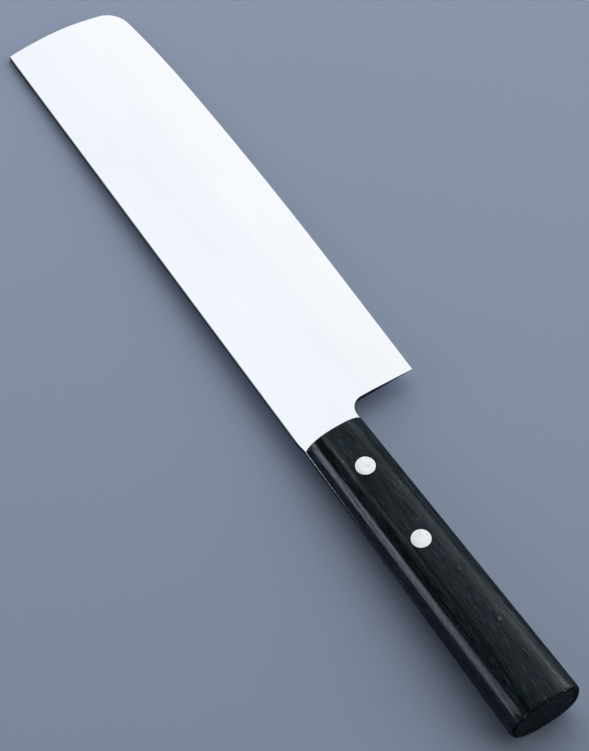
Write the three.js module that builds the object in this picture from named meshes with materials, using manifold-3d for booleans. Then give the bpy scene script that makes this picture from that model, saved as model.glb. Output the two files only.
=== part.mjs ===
// A usuba, the flat vegetable knife of a Japanese kitchen: a tall blade with a square tip and wide ground
// bevels, its half tang let into a sawn slot in a one-piece oval handle and held there by two flush rivets.
//
// Millimetres. The knife lies on its left side: +X runs to the tip, +Y to the spine, +Z out of the right
// face. It is drawn from the handle's front face, on the line of the spine and in the blade's middle plane.
// At the end the whole knife is moved, so that its own frame starts below its middle, where it lies.

import * as THREE from 'three';
import { mergeVertices } from 'three/addons/utils/BufferGeometryUtils.js';
import Module from 'manifold-3d';

// Blade: outline
const BLADE_REACH = 176.3; // handle front to the furthest point of the tip
const HEEL_HEIGHT = 45.3; // spine to edge at the heel
const HEEL_SETBACK = 6.5; // handle front to the heel corner
const HEEL_LEAN = 0.45; // how much further forward the heel is at the choil
const EDGE_STRAIGHT = 44.6; // flat part of the edge, from the heel
const EDGE_RADIUS = 1650; // slow curve of the edge from there on
const EDGE_TIP_STRETCH = 44; // last stretch before the tip, which curves faster
const EDGE_TIP_RADIUS = 390;
const TIP_RADIUS = 110; // bow of the tip end
const TIP_BOW_DROP = 9.5; // spine to the furthest point of that bow
const TIP_CORNER_RADIUS = 9; // round where the tip end meets the edge
const CHOIL_RADIUS = 4.5; // hollow between the heel and the neck
const NECK_HEIGHT = 21.5; // spine to the lower edge of the neck
const SPINE_DRESSING = 5; // stretch over which the spine is dressed down to the handle

// Blade: section
const BLADE_THICKNESS = 2.2;
const SPINE_BREAK = 0.25; // chamfer on the spine's two corners
const BEVEL_WIDTH = 14.8; // bevel line to edge
const EDGE_BEVEL_WIDTH = 0.6; // the fine bevel that makes the edge
const EDGE_BEVEL_THICKNESS = 0.24; // thickness of the steel where that fine bevel starts

// Tang and its slot in the handle
const TANG_LENGTH = 65.4; // from the handle's front face
const TANG_INSET = 0.1; // tang edges below the handle's surface
const SLOT_RUN_OUT = 1.3; // slot beyond the end of the tang
const SLOT_CLEARANCE = 0.05; // on each face of the tang and of the filler
const FILLER_SINK = 0.5; // filler below the surface on the belly side

// Handle: an oval that grows from the front to the butt
const HANDLE_LENGTH = 113.8;
const FRONT_SPINE_DROP = 0.55; // handle below the line of the spine, at the front
const FRONT_HEIGHT = 21.1;
const FRONT_THICKNESS = 13.1;
const BUTT_SPINE_RISE = 0.15; // handle above the line of the spine, at the butt
const BUTT_HEIGHT = 25.3;
const BUTT_THICKNESS = 19.4;
const SPINE_FULLNESS = 2.2; // exponent of the oval's spine half, where 2 is an ellipse
const BELLY_FULLNESS = 2.6; // exponent of its belly half
const FRONT_EDGE_RADIUS = 0.4;
const BUTT_EDGE_RADIUS = 1.2;

// Rivets: a headed pin driven into a headed tube, both heads ground flush with the handle
const FRONT_RIVET_SETBACK = 16.7; // from the handle's front face
const REAR_RIVET_MARGIN = 18.1; // from the end of the tang
const RIVET_DROP = 11.8; // below the line of the spine
const RIVET_HEAD_DIAMETER = 6.5;
const RIVET_HEAD_DEPTH = 2; // from the crown of the handle to the head's seat
const RIVET_TUBE_DIAMETER = 4.5;
const RIVET_PIN_DIAMETER = 3;
const RIVET_CLEARANCE = 0.05; // all round, in the handle, in the tang and of the pin in its tube
const RIVET_END_GAP = 0.3; // left at the end of the pin and of the tube

// Facets
const OVAL_POINTS = 72;
const HANDLE_STEPS = 4; // sections along the taper
const ROUND_STEPS = 4; // sections in a rounded edge of the handle
const EDGE_STEPS = 8; // sections along each curve of the edge
const ARC_DIVISIONS = 12; // of each arc in the blade's outline
const RIVET_SIDES = 48;

// Cutting shapes: how far one reaches past what it cuts, and how it crosses a curve that it would only touch
const ALLOWANCE = 1.5;
const CROSSING_ANGLE = THREE.MathUtils.degToRad(10);

const wasm = await Module();
wasm.setup();

// A closed geometry as a solid that can be joined and cut
function solidOf(geometry) {
  geometry.deleteAttribute('normal');
  geometry.deleteAttribute('uv');
  const merged = mergeVertices(geometry);
  return new wasm.Manifold(new wasm.Mesh({
    numProp: 3,
    vertProperties: Float32Array.from(merged.getAttribute('position').array),
    triVerts: Uint32Array.from(merged.getIndex().array),
  }));
}

function geometryOf(solid) {
  const mesh = solid.getMesh();
  const geometry = new THREE.BufferGeometry();
  geometry.setAttribute('position', new THREE.BufferAttribute(mesh.vertProperties, 3));
  geometry.setIndex(new THREE.BufferAttribute(mesh.triVerts, 1));
  geometry.computeVertexNormals();
  return geometry;
}

// A closed skin through sections that follow each other along +X, each a ring that turns from +Y to +Z
function loft(sections) {
  const count = sections[0].length;
  const corners = sections.flat();
  const faces = [];
  for (let s = 0; s + 1 < sections.length; s += 1) {
    for (let i = 0; i < count; i += 1) {
      const here = s * count + i;
      const next = s * count + ((i + 1) % count);
      faces.push(here, next, next + count, here, next + count, here + count);
    }
  }
  const ends = [sections[0], sections[sections.length - 1]];
  const [back, front] = ends.map((ring) => THREE.ShapeUtils.triangulateShape(
    ring.map((p) => new THREE.Vector2(p.y, p.z)), []));
  const last = corners.length - count;
  back.forEach(([a, b, c]) => faces.push(a, c, b));
  front.forEach(([a, b, c]) => faces.push(last + a, last + b, last + c));
  const geometry = new THREE.BufferGeometry().setFromPoints(corners);
  geometry.setIndex(faces);
  return geometry;
}

// A flat outline in X and Y, made a plate of the given thickness about the blade's middle plane
function plate(shape, thickness) {
  const geometry = new THREE.ExtrudeGeometry(shape, {
    depth: thickness,
    bevelEnabled: false,
    curveSegments: ARC_DIVISIONS,
  });
  return geometry.translate(0, 0, -thickness / 2);
}

// The handle's taper: its oval at any x, which runs from 0 at the front face to -HANDLE_LENGTH at the butt
function handleAt(x) {
  const along = -x / HANDLE_LENGTH;
  const top = THREE.MathUtils.lerp(-FRONT_SPINE_DROP, BUTT_SPINE_RISE, along);
  const height = THREE.MathUtils.lerp(FRONT_HEIGHT, BUTT_HEIGHT, along);
  const thickness = THREE.MathUtils.lerp(FRONT_THICKNESS, BUTT_THICKNESS, along);
  return {
    top,
    centre: top - height / 2,
    bottom: top - height,
    halfHeight: height / 2,
    halfThickness: thickness / 2,
  };
}

// One section of the handle, drawn in by an inset where its ends are rounded
function handleSection(x, inset) {
  const { centre, halfHeight, halfThickness } = handleAt(x);
  const ring = [];
  for (let i = 0; i < OVAL_POINTS; i += 1) {
    const angle = (2 * Math.PI * i) / OVAL_POINTS;
    const cos = Math.cos(angle);
    const sin = Math.sin(angle);
    const power = 2 / (cos > 0 ? SPINE_FULLNESS : BELLY_FULLNESS);
    const y = Math.sign(cos) * Math.abs(cos) ** power * (halfHeight - inset);
    const z = Math.sign(sin) * Math.abs(sin) ** power * (halfThickness - inset);
    ring.push(new THREE.Vector3(x, centre + y, z));
  }
  return ring;
}

// The handle before it is sawn and drilled. Rivet heads are ground flush with this same surface.
function handleBlank() {
  const sections = [];
  const butt = -HANDLE_LENGTH + BUTT_EDGE_RADIUS;
  const front = -FRONT_EDGE_RADIUS;
  for (let i = 0; i < ROUND_STEPS; i += 1) {
    const turn = (Math.PI / 2) * (1 - i / ROUND_STEPS);
    const inset = BUTT_EDGE_RADIUS * (1 - Math.cos(turn));
    sections.push(handleSection(butt - BUTT_EDGE_RADIUS * Math.sin(turn), inset));
  }
  for (let i = 0; i <= HANDLE_STEPS; i += 1) {
    sections.push(handleSection(THREE.MathUtils.lerp(butt, front, i / HANDLE_STEPS), 0));
  }
  for (let i = 1; i <= ROUND_STEPS; i += 1) {
    const turn = (Math.PI / 2) * (i / ROUND_STEPS);
    const inset = FRONT_EDGE_RADIUS * (1 - Math.cos(turn));
    sections.push(handleSection(front + FRONT_EDGE_RADIUS * Math.sin(turn), inset));
  }
  return solidOf(loft(sections));
}

const blank = handleBlank();
const slotEnd = -TANG_LENGTH - SLOT_RUN_OUT;

// Where a circle's lower side lies at any x
function underside(centre, radius, x) {
  return centre.y - Math.sqrt(radius ** 2 - (x - centre.x) ** 2);
}

// Centres of the blade's long curves. The edge's two curves run into each other smoothly at the bend.
const tipCentre = new THREE.Vector2(BLADE_REACH - TIP_RADIUS, -TIP_BOW_DROP);
const edgeCentre = new THREE.Vector2(HEEL_SETBACK + EDGE_STRAIGHT, EDGE_RADIUS - HEEL_HEIGHT);
const bendX = BLADE_REACH - EDGE_TIP_STRETCH;
const bend = new THREE.Vector2(bendX, underside(edgeCentre, EDGE_RADIUS, bendX));
const edgeTipCentre = bend.clone().lerp(edgeCentre, EDGE_TIP_RADIUS / EDGE_RADIUS);

// How low the edge lies at any x
function edgeAt(x) {
  if (x < edgeCentre.x) return -HEEL_HEIGHT;
  if (x < bend.x) return underside(edgeCentre, EDGE_RADIUS, x);
  return underside(edgeTipCentre, EDGE_TIP_RADIUS, x);
}

// Centre of the tip's corner round, which touches the tip's bow and the edge's last curve from inside
function tipCornerCentre() {
  const toTip = TIP_RADIUS - TIP_CORNER_RADIUS;
  const toEdge = EDGE_TIP_RADIUS - TIP_CORNER_RADIUS;
  const base = tipCentre.clone().sub(edgeTipCentre);
  const span = base.length();
  const along = (toEdge ** 2 - toTip ** 2 + span ** 2) / (2 * span);
  const aside = Math.sqrt(toEdge ** 2 - along ** 2);
  const unit = base.normalize();
  return new THREE.Vector2(
    edgeTipCentre.x + unit.x * along - unit.y * aside,
    edgeTipCentre.y + unit.y * along + unit.x * aside,
  );
}

// The stamped outline of blade and tang. It stands past the spine and the edge, which the grinding sets.
function bladeOutline() {
  const corner = tipCornerCentre();
  const spineTurn = Math.asin((TIP_BOW_DROP + ALLOWANCE) / TIP_RADIUS);
  const tipTurn = Math.atan2(corner.y - tipCentre.y, corner.x - tipCentre.x);
  const edgeTurn = Math.atan2(corner.y - edgeTipCentre.y, corner.x - edgeTipCentre.x);
  const leave = edgeTurn + CROSSING_ANGLE;
  const low = -HEEL_HEIGHT - ALLOWANCE;
  const leaveX = corner.x + TIP_CORNER_RADIUS * Math.cos(leave);
  const leaveY = corner.y + TIP_CORNER_RADIUS * Math.sin(leave);
  const neckFront = HEEL_SETBACK + HEEL_LEAN - CHOIL_RADIUS;

  const shape = new THREE.Shape();
  shape.moveTo(-TANG_LENGTH, handleAt(-TANG_LENGTH).top - TANG_INSET);
  shape.lineTo(0, handleAt(0).top - TANG_INSET);
  shape.lineTo(SPINE_DRESSING, 0);
  shape.lineTo(SPINE_DRESSING + ALLOWANCE, ALLOWANCE);
  shape.absarc(tipCentre.x, tipCentre.y, TIP_RADIUS, spineTurn, tipTurn, true);
  shape.absarc(corner.x, corner.y, TIP_CORNER_RADIUS, tipTurn, leave, true);
  shape.lineTo(leaveX + Math.tan(leave) * (leaveY - low), low);
  shape.lineTo(HEEL_SETBACK, low);
  shape.lineTo(HEEL_SETBACK, -HEEL_HEIGHT);
  shape.absarc(neckFront, -NECK_HEIGHT - CHOIL_RADIUS, CHOIL_RADIUS, 0, Math.PI / 2, false);
  shape.lineTo(0, -NECK_HEIGHT);
  shape.lineTo(0, handleAt(0).bottom + TANG_INSET);
  shape.lineTo(-TANG_LENGTH, handleAt(-TANG_LENGTH).bottom + TANG_INSET);
  return shape;
}

// The ground strip that the outline is cut from: chamfered spine, parallel flats, wide bevels, fine ones
function groundStrip() {
  const half = BLADE_THICKNESS / 2;
  const stations = [-TANG_LENGTH - ALLOWANCE];
  for (let i = 0; i < EDGE_STEPS; i += 1) {
    stations.push(THREE.MathUtils.lerp(edgeCentre.x, bend.x, i / EDGE_STEPS));
  }
  for (let i = 0; i <= EDGE_STEPS; i += 1) {
    stations.push(THREE.MathUtils.lerp(bend.x, BLADE_REACH + ALLOWANCE, i / EDGE_STEPS));
  }
  return solidOf(loft(stations.map((x) => {
    const edge = edgeAt(x);
    const rightSide = [
      [0, half - SPINE_BREAK],
      [-SPINE_BREAK, half],
      [edge + BEVEL_WIDTH, half],
      [edge + EDGE_BEVEL_WIDTH, EDGE_BEVEL_THICKNESS / 2],
    ];
    const leftSide = rightSide.map(([y, z]) => [y, -z]).reverse();
    return [...rightSide, [edge, 0], ...leftSide].map(([y, z]) => new THREE.Vector3(x, y, z));
  })));
}

// A solid turned about a rivet's axis, from a profile of [radius, height] that starts and ends on it
function turned(profile, x) {
  const points = profile.map(([radius, height]) => new THREE.Vector2(radius, height));
  const geometry = new THREE.LatheGeometry(points, RIVET_SIDES);
  geometry.rotateX(Math.PI / 2);
  geometry.translate(x, -RIVET_DROP, 0);
  return solidOf(geometry);
}

const rivets = [
  { name: 'front_rivet', x: -FRONT_RIVET_SETBACK },
  { name: 'rear_rivet', x: -TANG_LENGTH + REAR_RIVET_MARGIN },
].map((rivet) => {
  const crown = handleAt(rivet.x).halfThickness;
  return { ...rivet, seat: crown - RIVET_HEAD_DEPTH, proud: crown + ALLOWANCE };
});

const headRadius = RIVET_HEAD_DIAMETER / 2;
const tubeRadius = RIVET_TUBE_DIAMETER / 2;
const pinRadius = RIVET_PIN_DIAMETER / 2;

// The stepped hole for one rivet, through both cheeks of the handle
function rivetHole({ x, seat, proud }) {
  const wide = headRadius + RIVET_CLEARANCE;
  const narrow = tubeRadius + RIVET_CLEARANCE;
  const step = seat - RIVET_CLEARANCE;
  return turned([[0, -proud], [wide, -proud], [wide, -step], [narrow, -step],
    [narrow, step], [wide, step], [wide, proud], [0, proud]], x);
}

// The headed pin, from the right
function rivetMale({ x, seat, proud }) {
  const end = -seat + RIVET_END_GAP;
  return turned([[0, end], [pinRadius, end], [pinRadius, seat], [headRadius, seat],
    [headRadius, proud], [0, proud]], x).intersect(blank);
}

// The headed tube, from the left, with the bore that takes the pin
function rivetFemale({ x, seat, proud }) {
  const bore = pinRadius + RIVET_CLEARANCE;
  const mouth = seat - RIVET_END_GAP;
  return turned([[0, -proud], [headRadius, -proud], [headRadius, -seat], [tubeRadius, -seat],
    [tubeRadius, mouth], [bore, mouth], [bore, -seat], [0, -seat]], x).intersect(blank);
}

function drilled(solid) {
  return rivets.reduce((left, rivet) => left.subtract(rivetHole(rivet)), solid);
}

function bladeSolid() {
  const outline = solidOf(plate(bladeOutline(), BLADE_THICKNESS + 2 * ALLOWANCE));
  return drilled(groundStrip().intersect(outline));
}

// The slot is sawn right through the handle's height, from the front face
function handleSolid() {
  const mouth = handleAt(ALLOWANCE);
  const end = handleAt(slotEnd);
  const kerf = new THREE.Shape();
  kerf.moveTo(slotEnd, end.bottom - ALLOWANCE);
  kerf.lineTo(ALLOWANCE, mouth.bottom - ALLOWANCE);
  kerf.lineTo(ALLOWANCE, mouth.top + ALLOWANCE);
  kerf.lineTo(slotEnd, end.top + ALLOWANCE);
  return drilled(blank).subtract(solidOf(plate(kerf, BLADE_THICKNESS + 2 * SLOT_CLEARANCE)));
}

// The filler lies flush at the spine side and has sunk a little at the belly
function fillerGeometry() {
  const front = -TANG_LENGTH - SLOT_CLEARANCE;
  const back = slotEnd + SLOT_CLEARANCE;
  const shape = new THREE.Shape();
  shape.moveTo(back, handleAt(back).top - TANG_INSET);
  shape.lineTo(front, handleAt(front).top - TANG_INSET);
  shape.lineTo(front, handleAt(front).bottom + FILLER_SINK);
  shape.lineTo(back, handleAt(back).bottom + FILLER_SINK);
  return plate(shape, BLADE_THICKNESS);
}

const finishes = {
  steel: { color: 0xe9ebee, roughness: 0.28, metalness: 1 },
  wood: { color: 0x1c1a1b, roughness: 0.48, metalness: 0 },
  filler: { color: 0x121112, roughness: 0.7, metalness: 0 },
  rivet: { color: 0xe4e4e2, roughness: 0.32, metalness: 1 },
};

const knife = new THREE.Group();
function add(name, geometry, finish) {
  const mesh = new THREE.Mesh(geometry, new THREE.MeshStandardMaterial(finishes[finish]));
  mesh.name = name;
  knife.add(mesh);
}

add('blade', geometryOf(bladeSolid()), 'steel');
add('handle', geometryOf(handleSolid()), 'wood');
add('slot_filler', fillerGeometry(), 'filler');
rivets.forEach((rivet) => {
  add(`${rivet.name}_male`, geometryOf(rivetMale(rivet)), 'rivet');
  add(`${rivet.name}_female`, geometryOf(rivetFemale(rivet)), 'rivet');
});

// The knife's own frame starts below the middle of its box, level with its lowest point
const box = new THREE.Box3().setFromObject(knife);
const middle = box.getCenter(new THREE.Vector3());
knife.position.set(-middle.x, -middle.y, -box.min.z);

export default knife;
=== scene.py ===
import math

import bmesh
import bpy
from mathutils import Matrix, Vector


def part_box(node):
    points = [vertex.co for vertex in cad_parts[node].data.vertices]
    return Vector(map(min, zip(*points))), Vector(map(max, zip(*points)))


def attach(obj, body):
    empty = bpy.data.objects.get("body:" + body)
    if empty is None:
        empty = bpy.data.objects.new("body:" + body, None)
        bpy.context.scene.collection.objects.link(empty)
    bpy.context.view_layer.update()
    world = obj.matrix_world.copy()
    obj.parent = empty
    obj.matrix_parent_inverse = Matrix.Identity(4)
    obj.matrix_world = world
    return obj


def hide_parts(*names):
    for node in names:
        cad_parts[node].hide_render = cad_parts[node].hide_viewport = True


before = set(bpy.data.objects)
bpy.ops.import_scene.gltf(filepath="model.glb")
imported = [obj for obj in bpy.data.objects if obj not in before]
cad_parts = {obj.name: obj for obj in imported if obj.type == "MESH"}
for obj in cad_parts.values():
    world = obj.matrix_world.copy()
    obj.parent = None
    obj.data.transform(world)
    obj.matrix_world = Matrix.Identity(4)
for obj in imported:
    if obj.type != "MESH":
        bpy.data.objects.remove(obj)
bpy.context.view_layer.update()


# Blade: a strip of stainless steel, stamped to its outline with the half tang in one piece and ground on
# both faces to a wide bevel and a fine edge. The tang fills the handle's slot and is riveted through twice.
MM = 0.001
EDGE_STRAIGHT = 44.6
EDGE_RADIUS = 1650
EDGE_TIP_STRETCH = 44
EDGE_TIP_RADIUS = 390
TIP_RADIUS = 110
TIP_BOW_DROP = 9.5
TIP_CORNER_RADIUS = 9
HEEL_SETBACK = 6.5
HEEL_LEAN = 0.45
CHOIL_RADIUS = 4.5
NECK_HEIGHT = 21.5
SPINE_DRESSING = 5
SPINE_BREAK = 0.25
HEEL_BEVEL_WIDTH = 14.9
TIP_BEVEL_WIDTH = 16.5
EDGE_BEVEL_WIDTH = 0.6
EDGE_BEVEL_THICKNESS = 0.24
TANG_INSET = 0.1
TANG_BREAK = 0.3
TANG_BREAK_BEND = 18
TANG_BREAK_FADE = 5
RIVET_TUBE_RADIUS = 2.25
RIVET_CLEARANCE = 0.05
EDGE_STATIONS = 24
TIP_STATIONS = 16
TIP_CHORDS = 24
TIP_CORNER_CHORDS = 12
CHOIL_CHORDS = 15
RIVET_HOLE_CHORDS = 32
CUT_TOLERANCE = 1e-6
SHORTEST_EDGE = 1e-5
SAME_PLACE = 1e-4
SHARP_TURN = math.radians(60)
FLAT_SLOPE = 0.9999
BEVEL_SLOPE = 0.9
# Partly painted reflection: the flats' cool tint and the bevel's warmer, slightly darker one stand for the
# parts of the lamps each face mirrors, on one steel; their different grinds are real
FLAT_STEEL = (0.932, 0.934, 0.950)
BEVEL_STEEL = (0.929, 0.917, 0.903)
# Painted shade: the spine and the other cut walls get near-black steel, standing for the dark they lie in
# beside the blade
WALL_SHADE_STEEL = (0.014, 0.015, 0.016)
# Painted shade: the spine chamfer's steel is darkened so that its glint stays dim and the spine reads as a
# dark line
SHADED_CHAMFER_STEEL = (0.13, 0.135, 0.14)
GRIND_DEPTH = 0.02
NOISE_LOW = 0.3
NOISE_HIGH = 0.7

# Pieces are drawn in millimetres from the handle's front face, at the spine, in the blade's middle plane
blade_low, blade_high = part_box("blade")
handle_low, handle_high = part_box("handle")
middle_z = (blade_low.z + blade_high.z) / 2
drawing = Matrix.Translation((handle_high.x, blade_high.y, middle_z)) @ Matrix.Scale(MM, 4)
blade_reach = (blade_high.x - handle_high.x) / MM
heel_height = (blade_high.y - blade_low.y) / MM
half_blade = (blade_high.z - blade_low.z) / MM / 2
tang_length = (handle_high.x - blade_low.x) / MM

rivet_axes = []
for node in ("front_rivet_male", "rear_rivet_male"):
    rivet_low, rivet_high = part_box(node)
    rivet_middle = drawing.inverted() @ ((rivet_low + rivet_high) / 2)
    rivet_axes.append(Vector((rivet_middle.x, rivet_middle.y, 0)))

tip_centre = Vector((blade_reach - TIP_RADIUS, -TIP_BOW_DROP, 0))
edge_centre = Vector((HEEL_SETBACK + EDGE_STRAIGHT, EDGE_RADIUS - heel_height, 0))
bend_x = blade_reach - EDGE_TIP_STRETCH


def underside(centre, radius, x):
    """How low a circle reaches at x."""
    return centre.y - math.sqrt(radius ** 2 - (x - centre.x) ** 2)


bend = Vector((bend_x, underside(edge_centre, EDGE_RADIUS, bend_x), 0))
edge_tip_centre = bend.lerp(edge_centre, EDGE_TIP_RADIUS / EDGE_RADIUS)


def edge_at(x):
    """Height of the cutting edge at x: straight from the heel, then two curves that run into each other."""
    if x < edge_centre.x:
        return -heel_height
    if x < bend.x:
        return underside(edge_centre, EDGE_RADIUS, x)
    return underside(edge_tip_centre, EDGE_TIP_RADIUS, x)


def blade_section(x):
    """The right half of the ground section: spine chamfer, flat, wide bevel, fine bevel."""
    edge = edge_at(x)
    bevel_width = HEEL_BEVEL_WIDTH + (TIP_BEVEL_WIDTH - HEEL_BEVEL_WIDTH) * x / blade_reach
    return [
        (x, 0, half_blade - SPINE_BREAK),
        (x, -SPINE_BREAK, half_blade),
        (x, edge + bevel_width, half_blade),
        (x, edge + EDGE_BEVEL_WIDTH, EDGE_BEVEL_THICKNESS / 2),
        (x, edge, 0),
    ]


def split(start, stop, count):
    """The ends of equal steps from start to stop."""
    return [start + (stop - start) * i / count for i in range(1, count + 1)]


def chords(centre, radius, start, stop, count):
    """The flat cuts that follow an arc, each a point and the direction away from the arc's centre."""
    step = (stop - start) / count
    for i in range(count):
        middle = start + step * (i + 0.5)
        outward = Vector((math.cos(middle), math.sin(middle), 0))
        yield centre + outward * radius * math.cos(step / 2), outward


def round_hole(axis, radius, count):
    """The flat cuts round a hole."""
    return chords(axis, radius, 0, 2 * math.pi, count)


def line_cut(a, b, away):
    """A flat cut through two points of the outline, facing the given way."""
    normal = Vector((b[1] - a[1], a[0] - b[0], 0)).normalized()
    if normal.dot(Vector(away)) < 0:
        normal.negate()
    return Vector((*a, 0)), normal


def with_corners(faces):
    """The faces with their edges and corners, as a cut takes them."""
    parts = dict.fromkeys(faces)
    for face in faces:
        parts.update(dict.fromkeys(face.edges))
        parts.update(dict.fromkeys(face.verts))
    return list(parts)


def trim(bm, cuts):
    """Cuts away all that lies outside each cut."""
    for point, outward in cuts:
        bmesh.ops.bisect_plane(bm, geom=with_corners(bm.faces), dist=CUT_TOLERANCE, plane_co=point,
                               plane_no=outward, clear_outer=True)


def punch(bm, faces, cuts):
    """Takes the part of the faces that lies inside all the cuts out of the skin."""
    inside = list(faces)
    for point, outward in cuts:
        cut = bmesh.ops.bisect_plane(bm, geom=with_corners(inside), dist=CUT_TOLERANCE, plane_co=point,
                                     plane_no=outward)
        halves = [part for part in cut["geom"] if isinstance(part, bmesh.types.BMFace)]
        inside = [face for face in halves if (face.calc_center_median() - point).dot(outward) < 0]
    bmesh.ops.delete(bm, geom=inside, context="FACES")


def grow(bm, edges):
    """Extrudes bare edges in place, and gives the far corners, the far edges and the walls between."""
    grown = bmesh.ops.extrude_edge_only(bm, edges=edges)["geom"]
    kinds = (bmesh.types.BMVert, bmesh.types.BMEdge, bmesh.types.BMFace)
    return [[part for part in grown if isinstance(part, kind)] for kind in kinds]


def make_piece(name, bm, materials):
    """The drawn mesh as an object in the part's own frame, with its place in the mesh."""
    bmesh.ops.transform(bm, matrix=drawing, verts=bm.verts)
    bmesh.ops.recalc_face_normals(bm, faces=bm.faces)
    for face in bm.faces:
        face.smooth = True
    mesh = bpy.data.meshes.new(name)
    bm.to_mesh(mesh)
    bm.free()
    for material in materials:
        mesh.materials.append(material)
    piece = bpy.data.objects.new(name, mesh)
    bpy.context.scene.collection.objects.link(piece)
    return piece


def set_sockets(tree, node, sockets):
    """Sets each socket of a node, or links it where its value is another node's output."""
    for name, value in sockets.items():
        if isinstance(value, bpy.types.NodeSocket):
            tree.links.new(value, node.inputs[name])
        else:
            node.inputs[name].default_value = value


def add_node(tree, kind, sockets=None, **settings):
    """A shader node with its settings and its sockets."""
    made = tree.nodes.new(kind)
    for name, value in settings.items():
        setattr(made, name, value)
    set_sockets(tree, made, sockets or {})
    return made


def add_ramp(tree, value, stops):
    """A colour ramp over a value, from a list of (position, colour)."""
    ramp = add_node(tree, "ShaderNodeValToRGB", {"Fac": value})
    elements = ramp.color_ramp.elements
    while len(elements) < len(stops):
        elements.new(0.5)
    for element, (position, colour) in zip(elements, stops):
        element.position = position
        element.color = (*colour, 1)
    return ramp.outputs["Color"]


def add_noise(tree, place, scale, detail, roughness=0.5):
    """A noise over a place, with its value as Fac and three of its kind as Color."""
    return add_node(tree, "ShaderNodeTexNoise", {
        "Vector": place, "Scale": scale, "Detail": detail, "Roughness": roughness,
    }).outputs


def combine(tree, operation, first, second):
    """One sum on two vectors, such as MULTIPLY."""
    made = add_node(tree, "ShaderNodeVectorMath", {0: first, 1: second}, operation=operation)
    return made.outputs["Vector"]


def map_range(tree, value, from_min, from_max, to_min, to_max, clamp=True):
    """A value brought from one range to another."""
    return add_node(tree, "ShaderNodeMapRange", {
        "Value": value, "From Min": from_min, "From Max": from_max, "To Min": to_min, "To Max": to_max,
    }, clamp=clamp).outputs["Result"]


def add_bump(tree, height, strength, depth):
    """The normal of a surface with a fine relief, its depth in millimetres."""
    return add_node(tree, "ShaderNodeBump", {
        "Height": height, "Strength": strength, "Distance": depth * MM,
    }).outputs["Normal"]


def new_group(name, inputs, outputs):
    """A shader node group with its sockets, each a name and a kind such as Vector."""
    group = bpy.data.node_groups.new(name, "ShaderNodeTree")
    for in_out, sockets in (("INPUT", inputs), ("OUTPUT", outputs)):
        for socket, kind in sockets:
            group.interface.new_socket(socket, in_out=in_out, socket_type="NodeSocket" + kind)
    return group


def new_material(name):
    """A material, its node tree and its shader."""
    material = bpy.data.materials.new(name)
    material.use_nodes = True
    return material, material.node_tree, material.node_tree.nodes["Principled BSDF"]


def make_grind_group():
    """Fine lines left by a grinding belt, and the slow unevenness of a hand-held pass."""
    group = new_group("grind_lines", [("Place", "Vector"), ("Pitch", "Vector")],
                      [("Lines", "Float"), ("Drift", "Float")])
    given = add_node(group, "NodeGroupInput").outputs
    stretched = combine(group, "MULTIPLY", given["Place"], given["Pitch"])
    drawn_out = combine(group, "MULTIPLY", given["Place"], (0.25, 1.0, 1.0))
    add_node(group, "NodeGroupOutput", {
        "Lines": add_noise(group, stretched, scale=1, detail=4, roughness=0.65)["Fac"],
        "Drift": add_noise(group, drawn_out, scale=60, detail=2)["Fac"],
    })
    return group


grind_group = make_grind_group()


def make_steel(name, colour, pitch, roughness, relief, tone="Drift", unevenness=0.02):
    """Satin stainless. Pitch is how many grinding lines lie in a metre along x, y and z.

    Roughness runs between two values with the lines. The shade wanders by the unevenness, with the slow
    drift or with the lines.
    """
    material, tree, shader = new_material(name)
    place = add_node(tree, "ShaderNodeTexCoord").outputs["Object"]
    grind = add_node(tree, "ShaderNodeGroup", node_tree=grind_group)
    set_sockets(tree, grind, {"Place": place, "Pitch": pitch})
    shade = add_ramp(tree, grind.outputs[tone], [
        (NOISE_LOW, [c * (1 - unevenness) for c in colour]),
        (NOISE_HIGH, [c * (1 + unevenness) for c in colour]),
    ])
    lines = grind.outputs["Lines"]
    set_sockets(tree, shader, {
        "Base Color": shade,
        "Roughness": map_range(tree, lines, NOISE_LOW, NOISE_HIGH, *roughness),
        "Normal": add_bump(tree, lines, strength=relief, depth=GRIND_DEPTH),
        "Metallic": 1,
    })
    return material


blade_finishes = [
    # the flat and bevel colours carry a painted reflection tint, the grinds' lines and roughness are their
    # own
    make_steel("blade_flat", FLAT_STEEL,
               pitch=(40, 3200, 3200), roughness=(0.20, 0.26), relief=0.08),
    make_steel("blade_bevel", BEVEL_STEEL,
               pitch=(3800, 60, 60), roughness=(0.20, 0.25), relief=0.04),
    # painted shade: near-black steel for the cut walls
    make_steel("blade_walls_painted_shade", WALL_SHADE_STEEL,
               pitch=(600, 900, 2600), roughness=(0.25, 0.35), relief=0.3),
    # painted shade: the chamfer's steel darkened against its glint
    make_steel("blade_chamfer_painted_shade", SHADED_CHAMFER_STEEL,
               pitch=(60, 2200, 2200), roughness=(0.12, 0.18), relief=0.1),
]
FLAT, BEVEL, SHADED_WALLS, BROKEN = range(len(blade_finishes))

stations = [-tang_length, edge_centre.x]
stations += split(edge_centre.x, bend.x, EDGE_STATIONS)
stations += split(bend.x, blade_reach, TIP_STATIONS)
rows = len(blade_section(0)) - 1
columns = len(stations) - 1

bm = bmesh.new()
for corner in bmesh.ops.create_grid(bm, x_segments=columns, y_segments=rows, size=1)["verts"]:
    column = round((corner.co.x + 1) / 2 * columns)
    row = round((1 - corner.co.y) / 2 * rows)
    corner.co = blade_section(stations[column])[row]
for edge in bm.edges:
    # the lines of the grind stay crisp, and the stations along it run into each other
    edge.smooth = abs(edge.verts[0].co.x - edge.verts[1].co.x) < CUT_TOLERANCE
for face in bm.faces:
    face.normal_update()
    slope = abs(face.normal.z)
    face.material_index = FLAT if slope > FLAT_SLOPE else BEVEL if slope > BEVEL_SLOPE else BROKEN

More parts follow.
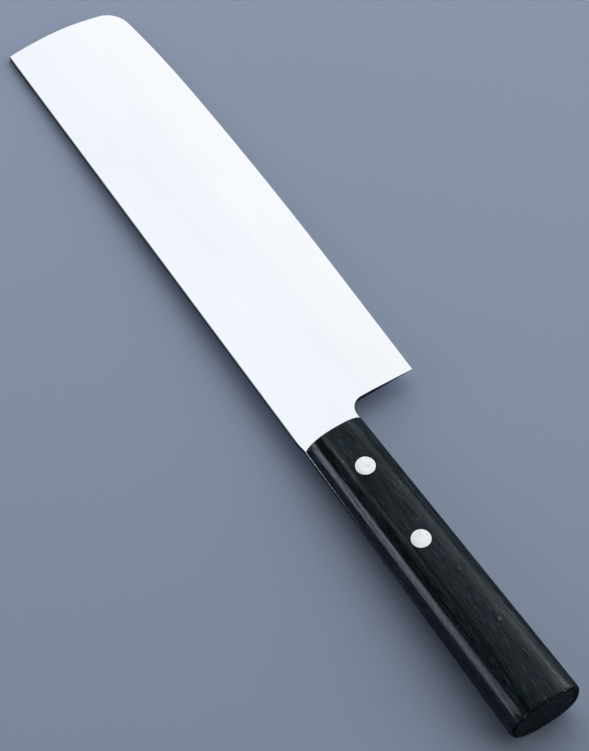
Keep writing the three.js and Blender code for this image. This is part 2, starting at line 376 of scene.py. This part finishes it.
to_tip = TIP_RADIUS - TIP_CORNER_RADIUS
to_edge = EDGE_TIP_RADIUS - TIP_CORNER_RADIUS
base = tip_centre - edge_tip_centre
along = (to_edge ** 2 - to_tip ** 2 + base.length_squared) / (2 * base.length)
aside = math.sqrt(to_edge ** 2 - along ** 2)
unit = base.normalized()
tip_corner = edge_tip_centre + unit * along + Vector((-unit.y, unit.x, 0)) * aside
spine_turn = math.asin(TIP_BOW_DROP / TIP_RADIUS)
tip_turn = math.atan2(tip_corner.y - tip_centre.y, tip_corner.x - tip_centre.x)
edge_turn = math.atan2(tip_corner.y - edge_tip_centre.y, tip_corner.x - edge_tip_centre.x)
trim(bm, chords(tip_centre, TIP_RADIUS, spine_turn, tip_turn, TIP_CHORDS))
trim(bm, chords(tip_corner, TIP_CORNER_RADIUS, tip_turn, edge_turn, TIP_CORNER_CHORDS))

# The handle's taper, which the tang's two edges follow from just inside its surface
FRONT_SPINE_DROP = 0.55
FRONT_HEIGHT = 21.1
FRONT_THICKNESS = 13.1
BUTT_SPINE_RISE = 0.15
BUTT_HEIGHT = 25.3
BUTT_THICKNESS = 19.4
handle_length = (handle_high.x - handle_low.x) / MM


def handle_at(x):
    """The handle's top, height and thickness at x, which is 0 at its front face and negative behind it."""
    share = -x / handle_length
    top = -FRONT_SPINE_DROP + (FRONT_SPINE_DROP + BUTT_SPINE_RISE) * share
    height = FRONT_HEIGHT + (BUTT_HEIGHT - FRONT_HEIGHT) * share
    thickness = FRONT_THICKNESS + (BUTT_THICKNESS - FRONT_THICKNESS) * share
    return top, height, thickness


def tang_edges(x):
    """The tang's upper and lower edge at x."""
    top, height = handle_at(x)[:2]
    return top - TANG_INSET, top - height + TANG_INSET


front_top, front_bottom = tang_edges(0)
end_top, end_bottom = tang_edges(-tang_length)
choil_centre = Vector((HEEL_SETBACK + HEEL_LEAN - CHOIL_RADIUS, -NECK_HEIGHT - CHOIL_RADIUS, 0))
heel_top = (HEEL_SETBACK + HEEL_LEAN, -NECK_HEIGHT - CHOIL_RADIUS)
behind_front = (Vector((0, 0, 0)), Vector((1, 0, 0)))
ahead_of_front = (Vector((0, 0, 0)), Vector((-1, 0, 0)))
punch(bm, bm.faces, [
    ahead_of_front,
    line_cut((HEEL_SETBACK, -heel_height), heel_top, (1, 0, 0)),
    *chords(choil_centre, CHOIL_RADIUS, 0, math.pi / 2, CHOIL_CHORDS),
    line_cut((0, -NECK_HEIGHT), (choil_centre.x, -NECK_HEIGHT), (0, 1, 0)),
])
punch(bm, bm.faces, [ahead_of_front, line_cut((0, front_top), (SPINE_DRESSING, 0), (0, -1, 0))])
punch(bm, bm.faces, [behind_front, line_cut((0, front_top), (-tang_length, end_top), (0, -1, 0))])
punch(bm, bm.faces, [behind_front, line_cut((0, front_bottom), (-tang_length, end_bottom), (0, 1, 0))])
for axis in rivet_axes:
    punch(bm, bm.faces, round_hole(axis, RIVET_TUBE_RADIUS + RIVET_CLEARANCE, RIVET_HOLE_CHORDS))

bmesh.ops.bisect_plane(bm, geom=with_corners(bm.faces), dist=CUT_TOLERANCE,
                       plane_co=(-TANG_BREAK_BEND, 0, 0), plane_no=(1, 0, 0))
rim = [edge for edge in bm.edges if edge.is_boundary and max(v.co.z for v in edge.verts) > CUT_TOLERANCE]
for edge in rim:
    edge.smooth = False
far_corners, _, walls = grow(bm, rim)
for corner in far_corners:
    corner.co.z = 0
# the walls take the near-black steel, painted shade for the blade's dark outline
for wall in walls:
    wall.material_index = SHADED_WALLS
bmesh.ops.mirror(bm, geom=with_corners(bm.faces), matrix=Matrix.Identity(4), merge_dist=SAME_PLACE,
                 axis="Z")
bmesh.ops.remove_doubles(bm, verts=bm.verts, dist=SAME_PLACE)
bmesh.ops.dissolve_degenerate(bm, edges=bm.edges, dist=SHORTEST_EDGE)


def on_tang_rim(corner):
    """Whether a corner of the blade lies on a face of the tang, in its upper quarter."""
    on_face = abs(abs(corner.co.z) - half_blade) < SAME_PLACE
    return on_face and corner.co.x < CUT_TOLERANCE and corner.co.y > front_bottom / 4


sharp_edges = [edge for edge in bm.edges if edge.calc_face_angle(0) > SHARP_TURN]
tang_rim = [edge for edge in sharp_edges if all(map(on_tang_rim, edge.verts))]
broken = bmesh.ops.bevel(bm, geom=tang_rim, offset=TANG_BREAK, offset_type="OFFSET", affect="EDGES",
                         segments=1, profile=0.5, material=-1)
for face in broken["faces"]:
    face.material_index = FLAT
    for edge in face.edges:
        edge.smooth = False
for corner in {corner for face in broken["faces"] for corner in face.verts}:
    # the broken corner gets narrower behind the front face and runs out to nothing at the tang's end
    whole = Vector((corner.co.x, tang_edges(corner.co.x)[0], math.copysign(half_blade, corner.co.z)))
    corner.co = whole.lerp(corner.co, (1 + corner.co.x / tang_length) ** TANG_BREAK_FADE)
bmesh.ops.remove_doubles(bm, verts=bm.verts, dist=SAME_PLACE)

blade = make_piece("ground_blade", bm, blade_finishes)
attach(blade, "root")
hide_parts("blade")


# Handle: one block of black resin-pressed laminate, turned to a tapered oval, its ends eased by hand. A saw
# slot from the front face takes the tang, and each cheek is bored and counterbored for the rivets.
SPINE_FULLNESS = 2.2
BELLY_FULLNESS = 2.6
FRONT_EDGE_RADIUS = 0.4
FRONT_EDGE_STEPS = 5
BUTT_EDGE_RADIUS = 1.2
BUTT_EDGE_STEPS = 8
TAPER_STEPS = 20
OVAL_POINTS = 160
SLOT_RUN_OUT = 1.3
SLOT_CLEARANCE = 0.05
RIVET_HEAD_RADIUS = 3.25
RIVET_HEAD_DEPTH = 2
HEAD_GAP = 0.24
BORE_CHORDS = 48
BORE_SLACK = 0.01
SKIN_MARGIN = 1
HANDLE_CREASE = math.radians(25)
BARE_END = 1
VENEER_PITCH = (6, 240, 1150)
FIBRE_PITCH = (230, 2300, 2300)
PORE_PITCH = (420, 4200, 4200)
GRAIN_SWING = 1.6
GRAIN_DEPTH = 0.06
SCUFF_WIDTH = 1.6
SCUFF_RIM = 0.2
SCUFF_GAIN = 0.12
SCUFF_COLOUR = (0.16, 0.16, 0.155)
slot_end = -tang_length - SLOT_RUN_OUT
half_slot = half_blade + SLOT_CLEARANCE


def oval_point(turn, x, inset):
    """A point of the handle's oval, turned from the spine towards the right face, drawn in by an inset."""
    top, height, thickness = handle_at(x)
    cos = math.cos(turn)
    sin = math.sin(turn)
    power = 2 / (SPINE_FULLNESS if cos > 0 else BELLY_FULLNESS)
    y = math.copysign(abs(cos) ** power, cos) * (height / 2 - inset)
    z = math.copysign(abs(sin) ** power, sin) * (thickness / 2 - inset)
    return x, top - height / 2 + y, z


def crown_at(x, y):
    """How far the handle's right face stands from the middle plane at x and y."""
    top, height, thickness = handle_at(x)
    offset = y - (top - height / 2)
    power = SPINE_FULLNESS if offset > 0 else BELLY_FULLNESS
    return thickness / 2 * (1 - abs(offset / (height / 2)) ** power) ** (1 / power)


def rounded_end(x, radius, outward, steps):
    """Stations and insets of an end whose edge is rounded, from where the round starts to the end face."""
    for i in range(steps + 1):
        turn = math.pi / 2 * i / steps
        yield x + outward * radius * (math.sin(turn) - 1), radius * (1 - math.cos(turn))


sections = list(rounded_end(0, FRONT_EDGE_RADIUS, 1, FRONT_EDGE_STEPS))[::-1]
sections += [(x, 0) for x in split(0, -handle_length, TAPER_STEPS)[:-1]]
sections += list(rounded_end(-handle_length, BUTT_EDGE_RADIUS, -1, BUTT_EDGE_STEPS))

bm = bmesh.new()
turns = bm.verts.layers.float.new("turn")
ring = bmesh.ops.create_circle(bm, segments=OVAL_POINTS, radius=1)["verts"]
for corner in ring:
    corner[turns] = math.atan2(corner.co.y, corner.co.x)
loop = list(bm.edges)
bm.faces.new(sorted(ring, key=lambda corner: corner[turns]))
for i, (x, inset) in enumerate(sections):
    if i:
        ring, loop, _ = grow(bm, loop)
    for corner in ring:
        corner.co = oval_point(corner[turns], x, inset)
bm.faces.new(sorted(ring, key=lambda corner: corner[turns]))

punch(bm, bm.faces, [
    (Vector((0, 0, half_slot)), Vector((0, 0, 1))),
    (Vector((0, 0, -half_slot)), Vector((0, 0, -1))),
    (Vector((slot_end, 0, 0)), Vector((-1, 0, 0))),
])


def on_slot_wall(part, side):
    """Whether all corners of an edge or a face lie in one wall of the slot."""
    return all(abs(v.co.z - side * half_slot) < SAME_PLACE for v in part.verts)


def at_slot_end(corner):
    """Whether a corner lies in the end wall of the slot."""
    return abs(corner.co.x - slot_end) < SAME_PLACE


slot_rim = [edge for edge in bm.edges if edge.is_boundary]
end_wall = [edge for edge in slot_rim if all(map(at_slot_end, edge.verts))]
for side in (1, -1):
    cheek = [edge for edge in slot_rim if on_slot_wall(edge, side)]
    ends = [corner for edge in cheek for corner in edge.verts if at_slot_end(corner)]
    across = bm.edges.new(ends)
    end_wall.append(across)
    bmesh.ops.edgeloop_fill(bm, edges=cheek + [across])
bmesh.ops.edgeloop_fill(bm, edges=end_wall)


def around(edge, axis, radius):
    """Whether a bare edge of the skin lies on a circle about a rivet's axis."""
    return edge.is_boundary and all((v.co - axis).xy.length < radius + BORE_SLACK for v in edge.verts)


for axis in rivet_axes:
    bore = RIVET_TUBE_RADIUS + RIVET_CLEARANCE
    counterbore = RIVET_HEAD_RADIUS + HEAD_GAP
    seat = handle_at(axis.x)[2] / 2 - RIVET_HEAD_DEPTH - RIVET_CLEARANCE
    skin_start = half_slot + SKIN_MARGIN
    skin = [face for face in bm.faces if abs(face.calc_center_median().z) > skin_start]
    punch(bm, skin, round_hole(axis, counterbore, BORE_CHORDS))
    for side in (1, -1):
        rims = [edge for edge in bm.edges if around(edge, axis, counterbore)]
        mouth = [edge for edge in rims if edge.verts[0].co.z * side > skin_start]
        corners, step, _ = grow(bm, mouth)
        for corner in corners:
            corner.co.z = side * seat
        corners, throat, _ = grow(bm, step)
        for corner in corners:
            corner.co.xy = axis.xy + (corner.co - axis).xy * bore / counterbore
        slot_wall = [face for face in bm.faces if on_slot_wall(face, side)]
        punch(bm, slot_wall, round_hole(axis, bore, BORE_CHORDS))
        inner = [edge for edge in bm.edges if around(edge, axis, bore) and on_slot_wall(edge, side)]
        bmesh.ops.bridge_loops(bm, edges=throat + inner)
for edge in bm.edges:
    edge.smooth = edge.calc_face_angle(0) < HANDLE_CREASE
for face in bm.faces:
    if face.calc_center_median().x < -handle_length + BUTT_EDGE_RADIUS / 2:
        face.material_index = BARE_END


def calculate(tree, operation, *values):
    """One sum on numbers, such as MULTIPLY_ADD."""
    return add_node(tree, "ShaderNodeMath", dict(enumerate(values)), operation=operation).outputs["Value"]


def mix_colours(tree, share, first, second, blend="MIX"):
    """Two colours in one, through the Mix node's sockets for colours, which have numbers and no names."""
    return add_node(tree, "ShaderNodeMix", {0: share, 6: first, 7: second},
                    data_type="RGBA", blend_type=blend).outputs[2]


def add_mask(tree, value, stops):
    """A grey ramp over a value, from a list of (position, shade)."""
    return add_ramp(tree, value, [(position, (shade, shade, shade)) for position, shade in stops])


def make_grain_group():
    """Thin dyed veneers stacked from cheek to cheek, with fibres and open pores along the handle.

    A pitch is how many of them lie in a metre along x, y and z. The grain swings a little from straight.
    The hand has rubbed a polish on the shoulders of the oval: the palm beside the spine, most at the front,
    and the fingers beside the belly. The ridges along the spine and the belly have stayed dull.
    """
    group = new_group("laminate_grain", [("Place", "Vector")],
                      [("Colour", "Color"), ("Dull", "Float"), ("Height", "Float"), ("Polish", "Float")])
    place = add_node(group, "NodeGroupInput").outputs["Place"]
    wander = add_noise(group, place, scale=22, detail=2)["Color"]
    swing = combine(group, "MULTIPLY", wander, (0, GRAIN_SWING * MM, GRAIN_SWING * MM))
    bent = combine(group, "ADD", place, swing)

    def stretched_noise(pitch, detail):
        drawn_out = combine(group, "MULTIPLY", bent, pitch)
        return add_noise(group, drawn_out, scale=1, detail=detail, roughness=0.6)["Fac"]

    veneers = stretched_noise(VENEER_PITCH, detail=2)
    fibres = stretched_noise(FIBRE_PITCH, detail=3)
    pores = stretched_noise(PORE_PITCH, detail=2)
    grain = add_ramp(group, fibres, [
        (0.36, (0.0060, 0.0108, 0.0152)),
        (0.48, (0.0150, 0.0265, 0.0360)),
        (0.58, (0.0285, 0.0460, 0.0595)),
        (0.70, (0.0640, 0.0920, 0.1130)),
    ])
    layers = add_ramp(group, veneers, [
        (0.38, (0.30, 0.30, 0.25)),
        (0.46, (0.85, 0.85, 0.83)),
        (0.62, (1.00, 1.00, 1.00)),
    ])
    apart = add_node(group, "ShaderNodeSeparateXYZ", {"Vector": place}).outputs

    def tapered(at_butt, at_front):
        return map_range(group, apart["X"], handle_low.x, handle_high.x, at_butt, at_front)

    grip_top, grip_height = handle_at(0)[:2]
    belly = tapered(handle_low.y, blade_high.y + (grip_top - grip_height) * MM)
    spine = tapered(handle_high.y, blade_high.y + grip_top * MM)
    rise = map_range(group, apart["Y"], belly, spine, 0, 1)
    ridges = add_mask(group, rise, [(0.08, 0.80), (0.13, 0), (0.92, 0), (0.95, 0.40)])
    dull = calculate(group, "ADD", calculate(group, "SUBTRACT", pores, veneers), ridges)
    palm = add_mask(group, rise, [(0.66, 0), (0.80, 1), (0.92, 1), (0.945, 0)])
    fingers = add_mask(group, rise, [(0.08, 0), (0.14, 1), (0.36, 0)])
    palm_worn = calculate(group, "MULTIPLY", palm, tapered(0.55, 1.0))
    rubbed = calculate(group, "MULTIPLY_ADD", fingers, tapered(0.37, 0.24), palm_worn)
    closed = map_range(group, dull, -0.20, 0.20, 1.0, 0.4)
    stacked = calculate(group, "MULTIPLY_ADD", veneers, 1.5, fibres)
    add_node(group, "NodeGroupOutput", {
        "Colour": mix_colours(group, 1, grain, layers, "MULTIPLY"),
        "Dull": dull,
        "Height": calculate(group, "ADD", stacked, pores),
        "Polish": calculate(group, "MULTIPLY", rubbed, closed),
    })
    return group


grain_group = make_grain_group()


def make_laminate(name, shade, roughness, shine, scuff_start, rubbed):
    """Black laminate, waxed or bare, darkened by a shade. Beyond scuff_start along x its edge is scuffed.

    Roughness runs between two values from closed to open grain. A rubbed one shows the polish of the hand.
    """
    material, tree, shader = new_material(name)
    place = add_node(tree, "ShaderNodeTexCoord").outputs["Object"]
    grain = add_node(tree, "ShaderNodeGroup", {"Place": place}, node_tree=grain_group).outputs
    along = add_node(tree, "ShaderNodeSeparateXYZ", {"Vector": place}).outputs["X"]
    near_rim = map_range(tree, along, scuff_start, handle_low.x + SCUFF_RIM * MM, 0, SCUFF_GAIN)
    knocks = add_noise(tree, place, scale=420, detail=4)["Fac"]
    struck = calculate(tree, "ADD", knocks, near_rim)
    scuffs = add_mask(tree, struck, [(0.70, 0), (0.74, 1)])
    toned = mix_colours(tree, 1, grain["Colour"], (shade, shade, shade, 1), "MULTIPLY")
    set_sockets(tree, shader, {
        "Base Color": mix_colours(tree, scuffs, toned, (*SCUFF_COLOUR, 1)),
        "Roughness": map_range(tree, grain["Dull"], -0.22, 0.22, *roughness, clamp=False),
        "Normal": add_bump(tree, grain["Height"], strength=0.3, depth=GRAIN_DEPTH),
        "Specular IOR Level": shine,
    })
    if rubbed:
        set_sockets(tree, shader, {"Coat Weight": grain["Polish"], "Coat Roughness": 0.1, "Coat IOR": 2.1})
    return material


handle = make_piece("laminate_handle", bm, [
    make_laminate("waxed_laminate", shade=1.0, roughness=(0.10, 0.40), shine=0.12,
                  scuff_start=handle_low.x + SCUFF_WIDTH * MM, rubbed=True),
    make_laminate("bare_end_grain", shade=0.6, roughness=(0.50, 0.75), shine=0.10,
                  scuff_start=handle_low.x, rubbed=False),
])
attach(handle, "root")
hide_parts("handle")


# Slot filler: the black resin run into the end of the saw slot behind the tang. It cured flush on the spine
# side and shrank a little below the surface on the belly side.
FILLER_SINK = 0.5
FILLER_DISH = 0.12
FILLER_DISH_MARGINS = (0.075, 0.15)
FILLER_BREAK = 0.04
FILLER_CREASE = math.radians(40)
FILLER_GRAIN_DEPTH = 0.05
filler_front = -tang_length - SLOT_CLEARANCE
filler_back = slot_end + SLOT_CLEARANCE
filler_top = tang_edges(filler_back)[0]
filler_bottom = tang_edges(filler_back)[1] - TANG_INSET + FILLER_SINK
filler_size = (filler_front - filler_back, filler_top - filler_bottom, 2 * half_blade)
filler_middle = ((filler_front + filler_back) / 2, (filler_top + filler_bottom) / 2, 0)

bm = bmesh.new()
bmesh.ops.create_cube(bm, size=1)
bmesh.ops.scale(bm, vec=filler_size, verts=bm.verts)
bmesh.ops.translate(bm, vec=filler_middle, verts=bm.verts)
bmesh.ops.bevel(bm, geom=bm.edges, offset=FILLER_BREAK, offset_type="OFFSET", affect="EDGES", segments=2,
                profile=0.5, material=-1)
sunk = next(face for face in bm.faces if face.normal.y < -FLAT_SLOPE)
for margin in FILLER_DISH_MARGINS:
    bmesh.ops.inset_region(bm, faces=[sunk], thickness=margin, depth=0)
    bmesh.ops.translate(bm, vec=(0, FILLER_DISH / len(FILLER_DISH_MARGINS), 0), verts=list(sunk.verts))
for edge in bm.edges:
    edge.smooth = edge.calc_face_angle(0) < FILLER_CREASE


def make_filler_resin():
    """Black filler, dull and slightly grainy."""
    material, tree, shader = new_material("black_filler")
    place = add_node(tree, "ShaderNodeTexCoord").outputs["Object"]
    grain = add_noise(tree, place, scale=2600, detail=3)["Fac"]
    set_sockets(tree, shader, {
        "Base Color": add_ramp(tree, grain, [(0.35, (0.004, 0.004, 0.0045)), (0.7, (0.014, 0.014, 0.014))]),
        "Roughness": map_range(tree, grain, 0, 1, 0.5, 0.8),
        "Normal": add_bump(tree, grain, strength=0.3, depth=FILLER_GRAIN_DEPTH),
    })
    return material


filler = make_piece("filler_plug", bm, [make_filler_resin()])
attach(filler, "root")
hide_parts("slot_filler")


# Rivets: each a headed steel pin driven from the right into a headed tube from the left. Both heads were
# ground flush with the cheeks after driving, so they carry the oval's crown and fine lengthwise lines.
RIVET_PIN_RADIUS = 1.5
RIVET_END_GAP = 0.3
RIVET_EDGE_BREAK = 0.06
RIVET_HEAD_RINGS = 5
RIVET_STEPS = 72
RIVET_CREASE = math.radians(30)
RIVET_STEEL = (0.85, 0.85, 0.85)
rivet_finish = make_steel("rivet_steel", RIVET_STEEL, pitch=(500, 1100, 1100), roughness=(0.22, 0.36),
                          relief=0.2, tone="Lines", unevenness=0.17)


def head_profile(crown):
    """Radii and heights over a rivet's head, from its rim to the middle."""
    face_radius = RIVET_HEAD_RADIUS - RIVET_EDGE_BREAK
    rings = [(radius, crown) for radius in split(face_radius, 0, RIVET_HEAD_RINGS)]
    return [(RIVET_HEAD_RADIUS, crown - RIVET_EDGE_BREAK), (face_radius, crown), *rings]


def make_rivet_half(name, axis, profile, crown, side):
    """A profile of (radius, height) turned about the rivet's axis, its head flush with the handle."""
    bm = bmesh.new()
    corners = [bm.verts.new((axis.x + radius, axis.y, height)) for radius, height in profile]
    lines = [bm.edges.new(pair) for pair in zip(corners, corners[1:])]
    bmesh.ops.spin(bm, geom=corners + lines, cent=axis, axis=(0, 0, 1), dvec=(0, 0, 0), angle=2 * math.pi,
                   steps=RIVET_STEPS, use_merge=True)
    bmesh.ops.remove_doubles(bm, verts=bm.verts, dist=SHORTEST_EDGE)
    for corner in bm.verts:
        if corner.co.z > crown - RIVET_HEAD_DEPTH / 2:
            corner.co.z += crown_at(corner.co.x, corner.co.y) - crown
        corner.co.z *= side
    for edge in bm.edges:
        edge.smooth = edge.calc_face_angle(0) < RIVET_CREASE
    return make_piece(name, bm, [rivet_finish])


for station, axis in zip(("front", "rear"), rivet_axes):
    crown = handle_at(axis.x)[2] / 2
    seat = crown - RIVET_HEAD_DEPTH
    shank_end = -seat + RIVET_END_GAP
    bore = RIVET_PIN_RADIUS + RIVET_CLEARANCE
    head = [(RIVET_HEAD_RADIUS, seat), *head_profile(crown)]
    pin = [(0, shank_end), (RIVET_PIN_RADIUS, shank_end), (RIVET_PIN_RADIUS, seat), *head]
    hollow = [(0, seat), (bore, seat), (bore, shank_end)]
    tube = [*hollow, (RIVET_TUBE_RADIUS, shank_end), (RIVET_TUBE_RADIUS, seat), *head]
    halves = (("male", "pin", pin, 1), ("female", "tube", tube, -1))
    for node_half, half_name, profile, side in halves:
        rivet = make_rivet_half(f"{station}_rivet_{half_name}", axis, profile, crown, side)
        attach(rivet, "root")
        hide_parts(f"{station}_rivet_{node_half}")


# Stage: a plain floor that the knife lies on, touching the tip of the blade and the handle's front edge, so
# it leans a little against the blade's plane.
FLOOR_SPAN = 6
FLOOR_COLOUR = (0.538, 0.615, 0.797)
FLOOR_CLEARANCE = 0.05
rest_front = drawing @ Vector((-FRONT_EDGE_RADIUS, 0, -FRONT_THICKNESS / 2 - FLOOR_CLEARANCE))
rest_tip = drawing @ Vector((blade_reach, 0, -half_blade - FLOOR_CLEARANCE))
lean = math.atan2(rest_tip.z - rest_front.z, rest_tip.x - rest_front.x)

bm = bmesh.new()
bmesh.ops.create_grid(bm, x_segments=1, y_segments=1, size=FLOOR_SPAN / 2)
bmesh.ops.rotate(bm, matrix=Matrix.Rotation(-lean, 3, "Y"), verts=bm.verts)
bmesh.ops.translate(bm, vec=(rest_front.x, 0, rest_front.z), verts=bm.verts)
floor_mesh = bpy.data.meshes.new("floor")
bm.to_mesh(floor_mesh)
bm.free()
floor_finish, floor_tree, floor_shader = new_material("floor_paper")
set_sockets(floor_tree, floor_shader, {
    "Base Color": (*FLOOR_COLOUR, 1), "Roughness": 0.9, "Specular IOR Level": 0.1,
})
floor_mesh.materials.append(floor_finish)
floor = bpy.data.objects.new("floor", floor_mesh)
bpy.context.scene.collection.objects.link(floor)


# Light: six soft panels, the largest above and beyond the knife where the blade mirrors it, in a dim even
# room. The camera and mirroring surfaces see a plain grey backdrop in place of the room. A dark flag in it
# keeps the top of the handle black.
ROOM_LEVEL = 0.015
LIGHT_COLOUR = (0.94, 0.975, 1.0)
COOL_COLOUR = (0.80, 0.88, 1.08)
LOW_BACKDROP = (0.19, 0.22, 0.27)
HIGH_BACKDROP = (0.08, 0.092, 0.115)
BACKDROP_START = 0.15
BACKDROP_STOP = 0.85
FLAG_DIRECTION = (0.42, 0.45, 0.79)
FLAG_RIM = 0.70
FLAG_CORE = 0.82
FLAG_SHADE = 0.08
room = bpy.data.worlds.new("room")
room.use_nodes = True
room_tree = room.node_tree
sight = add_node(room_tree, "ShaderNodeTexCoord").outputs["Generated"]
upward = add_node(room_tree, "ShaderNodeSeparateXYZ", {"Vector": sight}).outputs["Z"]
to_flag = add_node(room_tree, "ShaderNodeVectorMath", {0: sight, 1: FLAG_DIRECTION},
                   operation="DOT_PRODUCT")
grey = add_ramp(room_tree, upward, [(BACKDROP_START, LOW_BACKDROP), (BACKDROP_STOP, HIGH_BACKDROP)])
flag = add_mask(room_tree, to_flag.outputs["Value"], [(FLAG_RIM, 1), (FLAG_CORE, FLAG_SHADE)])
backdrop = mix_colours(room_tree, 1, grey, flag, "MULTIPLY")
path = add_node(room_tree, "ShaderNodeLightPath").outputs
seen = calculate(room_tree, "MAXIMUM", path["Is Camera Ray"], path["Is Glossy Ray"])
dim = [c * ROOM_LEVEL for c in LIGHT_COLOUR]
room_colour = mix_colours(room_tree, seen, (*dim, 1), backdrop)
room_tree.links.new(room_colour, room_tree.nodes["Background"].inputs["Color"])
bpy.context.scene.world = room


def add_panel(name, direction, distance, size, level, colour=LIGHT_COLOUR):
    """A soft panel that faces the knife. Level is how bright its face looks, where 1 is white."""
    width, height = size
    lamp = bpy.data.lights.new(name, "AREA")
    lamp.color = colour
    lamp.shape = "RECTANGLE"
    lamp.size = width
    lamp.size_y = height
    lamp.energy = level * math.pi * width * height
    panel = bpy.data.objects.new(name, lamp)
    panel.location = Vector(direction).normalized() * distance
    panel.rotation_euler = Vector(direction).to_track_quat("Z", "Y").to_euler()
    bpy.context.scene.collection.objects.link(panel)


add_panel("far_panel", (0.40, -0.40, 0.825), distance=1.3, size=(1.75, 1.35), level=0.96)
add_panel("tip_panel", (0.88, -0.23, 0.38), distance=1.3, size=(1.3, 0.62), level=0.85)
add_panel("edge_panel", (-0.36, -0.82, 0.44), distance=1.3, size=(1.8, 1.2), level=0.80)
add_panel("belly_panel", (0.10, -0.77, 0.30), distance=0.83, size=(0.24, 0.36), level=0.8)
add_panel("spine_panel", (0.52, 1.33, 0.66), distance=1.6, size=(0.46, 0.85), level=1.1, colour=COOL_COLOUR)
add_panel("left_panel", (0.43, 0.36, 0.205), distance=0.6, size=(0.4, 0.4), level=0.80)


# Camera: the photograph's view through a long lens, three quarters from above, with the knife running from
# the upper left to the lower right.
VIEW_BACK = Vector((-0.39832, 0.26272, 0.87882))
VIEW_UP = Vector((0.73362, -0.48387, 0.47716))
VIEW_AIM = Vector((-0.006192, 0.009568, 0.009667))
VIEW_DISTANCE = 1.2622
VIEW_LENS = 191.74
view = bpy.data.cameras.new("view")
view.lens = VIEW_LENS
view.sensor_width = 36
camera = bpy.data.objects.new("view", view)
axes = Matrix((VIEW_UP.cross(VIEW_BACK), VIEW_UP, VIEW_BACK)).transposed()
camera.matrix_world = Matrix.Translation(VIEW_AIM + VIEW_BACK * VIEW_DISTANCE) @ axes.to_4x4()
bpy.context.scene.collection.objects.link(camera)
bpy.context.scene.camera = camera
bpy.context.scene.view_settings.view_transform = "Standard"
